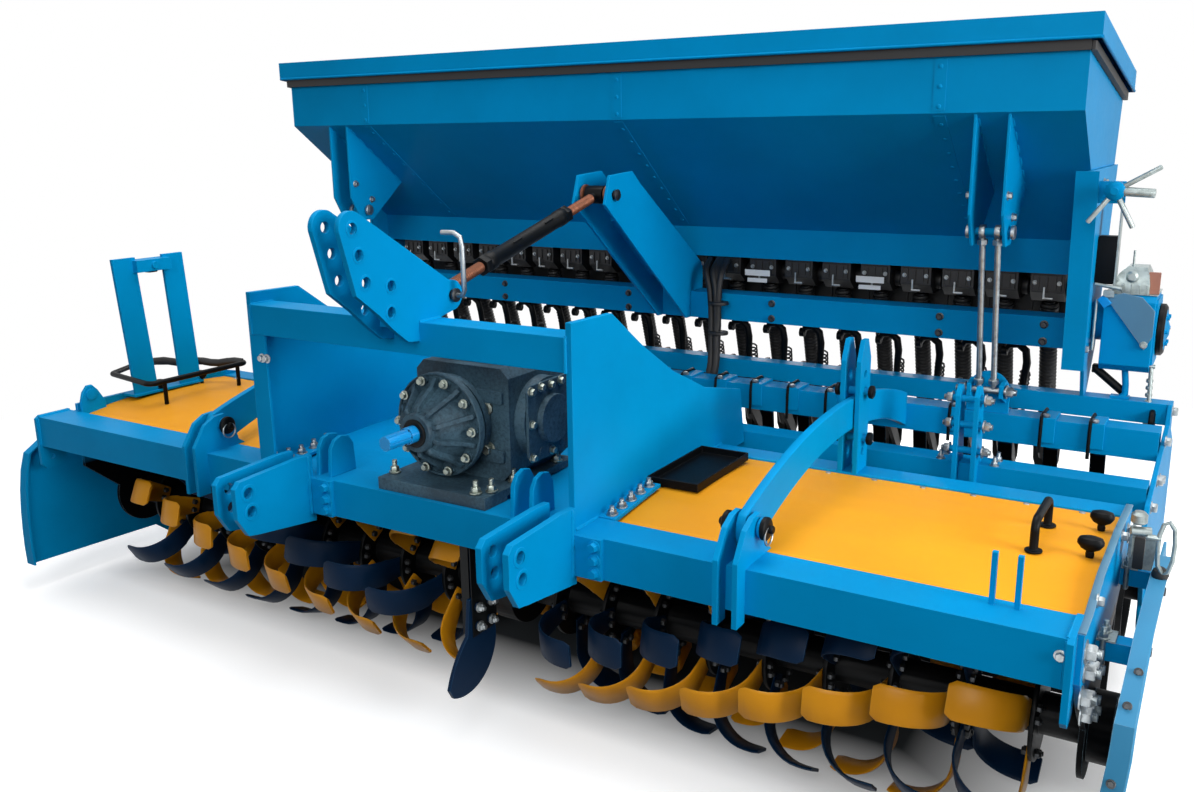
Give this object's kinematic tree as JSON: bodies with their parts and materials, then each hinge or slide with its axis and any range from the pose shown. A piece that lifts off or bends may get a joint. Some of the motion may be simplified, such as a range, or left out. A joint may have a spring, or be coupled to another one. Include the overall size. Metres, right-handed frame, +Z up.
{
  "type": "rotary tiller with seed drill",
  "caption": "Tractor-mounted rotary tiller with bent blades, toothed packer roller and a hopper seed drill on one blue frame, yellow deck plates and a central gearbox.",
  "frame": {"origin": "bottom centre of the whole machine's box, on the floor", "axes": "+X across the machine, to the right as seen from the tractor's side looking back at it; -Y towards the tractor; +Z up"},
  "size_m": [3.312, 2.062, 1.734],
  "materials": {
    "blue_paint": "semi-gloss sprayed enamel",
    "yellow_paint": "semi-gloss sprayed enamel",
    "slate_paint": "painted casting, satin",
    "gold_blade": "bronze-gold lacquer on forged steel",
    "dark_blade": "dark navy lacquer on forged steel",
    "black_paint": "satin black",
    "zinc_plate": "zinc plated",
    "black_plastic": "moulded, matt",
    "blue_shaft": "blue transport paint"
  },
  "bodies": {
    "machine": {"arm_clevis_left": "blue_paint", "arm_clevis_right": "blue_paint", "centre_case": "black_paint", "centre_plate_left": "blue_paint", "centre_plate_right": "blue_paint", "coulters": "black_paint", "deck_centre": "blue_paint", "deck_handle": "black_paint", "deck_left": "yellow_paint", "deck_right": "yellow_paint", "deck_tray": "black_paint", "depth_posts_left": "blue_paint", "depth_posts_right": "blue_paint", "drill_side_left": "blue_paint", "drill_side_right": "blue_paint", "drive_case": "blue_paint", "end_frame_left": "blue_paint", "end_frame_right": "blue_paint", "front_beam": "blue_paint", "gearbox_bell": "slate_paint", "gearbox_housing": "slate_paint", "hopper": "blue_paint", "hopper_brackets_left": "blue_paint", "hopper_brackets_right": "blue_paint", "link_rods_left": "zinc_plate", "link_rods_right": "zinc_plate", "loop_rail": "black_paint", "lower_hitch_left": "blue_paint", "lower_hitch_right": "blue_paint", "main_bar": "blue_paint", "metering_units": "black_plastic", "plough_foot": "black_paint", "portal_frame": "blue_paint", "rate_handle": "zinc_plate", "rear_beam": "blue_paint", "rear_board": "black_paint", "roller_arm_left": "blue_paint", "roller_arm_right": "blue_paint", "roller_end_left": "blue_paint", "roller_end_right": "blue_paint", "roller_tube_front": "blue_paint", "roller_tube_middle": "blue_paint", "roller_tube_rear": "blue_paint", "scrapers": "black_paint", "seed_tubes": "black_plastic", "seeder_mast": "blue_paint", "side_shield_left": "blue_paint", "side_shield_right": "blue_paint", "top_crossbeam": "blue_paint", "top_hitch": "blue_paint", "top_link": "black_paint"},
    "rotor": {"rotor_left": "black_paint", "rotor_right": "black_paint", "blades_gold_left": "gold_blade", "blades_gold_right": "gold_blade", "blades_dark_left": "dark_blade", "blades_dark_right": "dark_blade"},
    "input_shaft": {"pto_shaft": "blue_shaft"},
    "roller": {"packer_roller": "black_paint"},
    "lid": {"hopper_lid": "blue_paint"}
  },
  "joints": [
    {"name": "rotor_spin", "type": "hinge", "parent": "machine", "child": "rotor", "pos_m": [0, -0.449, 0.27], "axis": [1, 0, 0], "continuous": true},
    {"name": "pto_spin", "type": "hinge", "parent": "machine", "child": "input_shaft", "pos_m": [0.07, -0.779, 0.771], "axis": [0, 1, 0], "continuous": true},
    {"name": "roller_spin", "type": "hinge", "parent": "machine", "child": "roller", "pos_m": [0, 0.401, 0.24], "axis": [1, 0, 0], "continuous": true},
    {"name": "lid_hinge", "type": "hinge", "parent": "machine", "child": "lid", "pos_m": [0, 1.011, 1.603], "axis": [-1, 0, 0], "range_deg": [0, 95]}
  ],
  "couplings": [
    {"joint": "pto_spin", "follows": "rotor_spin", "ratio": 2.25}
  ]
}
